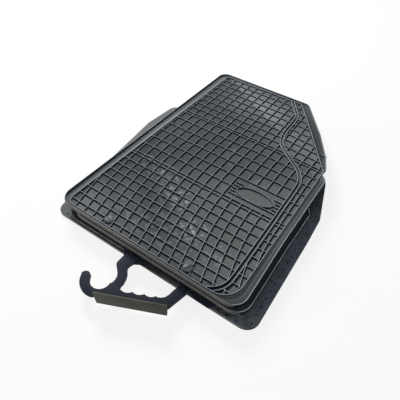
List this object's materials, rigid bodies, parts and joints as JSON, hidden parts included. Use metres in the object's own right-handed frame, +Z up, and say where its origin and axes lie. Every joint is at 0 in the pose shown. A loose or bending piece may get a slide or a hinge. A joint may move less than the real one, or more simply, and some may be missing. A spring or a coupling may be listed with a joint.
{
  "type": "floor mat set",
  "caption": "Moulded rubber floor mats with raised rims and gridded treads, stacked in pairs on a flat plastic hanger with a hook and a finger grip.",
  "frame": {"origin": "on the floor under the middle of the whole stack's bounding box", "axes": "+X across the mats, +Y from the hanger along the mats, +Z up out of the driver's mat"},
  "size_m": [0.5428, 0.842, 0.0461],
  "materials": {
    "mat_rubber": "satin",
    "raised_rubber": "satin",
    "button_plastic": "satin",
    "hanger_plastic": "satin",
    "palm_face": "matte"
  },
  "bodies": {
    "driver_mat": {"driver_sheet": "mat_rubber", "driver_rim": "mat_rubber", "driver_ridge": "raised_rubber", "driver_tread": "raised_rubber", "driver_channel": "raised_rubber", "driver_badge": "raised_rubber", "driver_fixing_rings": "raised_rubber"},
    "left_button": {"button_left": "button_plastic"},
    "right_button": {"button_right": "button_plastic"},
    "passenger_mat": {"passenger_sheet": "mat_rubber", "passenger_rim": "mat_rubber", "passenger_ridge": "raised_rubber", "passenger_tread": "raised_rubber"},
    "hanger": {"hanger_foot": "hanger_plastic", "hanger_foot_ribs": "hanger_plastic", "hanger_left_arm": "hanger_plastic", "hanger_right_arm": "hanger_plastic", "hanger_grip": "hanger_plastic", "hanger_palm_flange": "palm_face", "hanger_hook": "hanger_plastic"},
    "rear_upper_mat": {"rear_upper_sheet": "mat_rubber", "rear_upper_rim": "mat_rubber", "rear_upper_ridge": "raised_rubber", "rear_upper_tread": "raised_rubber"},
    "rear_lower_mat": {"rear_lower_sheet": "mat_rubber", "rear_lower_rim": "mat_rubber", "rear_lower_ridge": "raised_rubber", "rear_lower_tread": "raised_rubber", "rear_lower_nibs": "raised_rubber"}
  },
  "joints": [
    {"name": "passenger_lift", "type": "slide", "parent": "rear_lower_mat", "child": "passenger_mat", "axis": [0, 0, 1], "range_m": [0, 0.06]},
    {"name": "hanger_lift", "type": "slide", "parent": "passenger_mat", "child": "hanger", "axis": [0, 0, 1], "range_m": [0, 0.06]},
    {"name": "rear_upper_lift", "type": "slide", "parent": "hanger", "child": "rear_upper_mat", "axis": [0, 0, 1], "range_m": [0, 0.06]},
    {"name": "driver_lift", "type": "slide", "parent": "rear_upper_mat", "child": "driver_mat", "axis": [0, 0, 1], "range_m": [0, 0.06]},
    {"name": "left_quarter_turn", "type": "hinge", "parent": "driver_mat", "child": "left_button", "pos_m": [-0.097, -0.273, 0.0391], "axis": [0, 0, 1], "range_deg": [0, 90]},
    {"name": "right_quarter_turn", "type": "hinge", "parent": "driver_mat", "child": "right_button", "pos_m": [0.108, -0.273, 0.0391], "axis": [0, 0, 1], "range_deg": [-90, 0]}
  ]
}
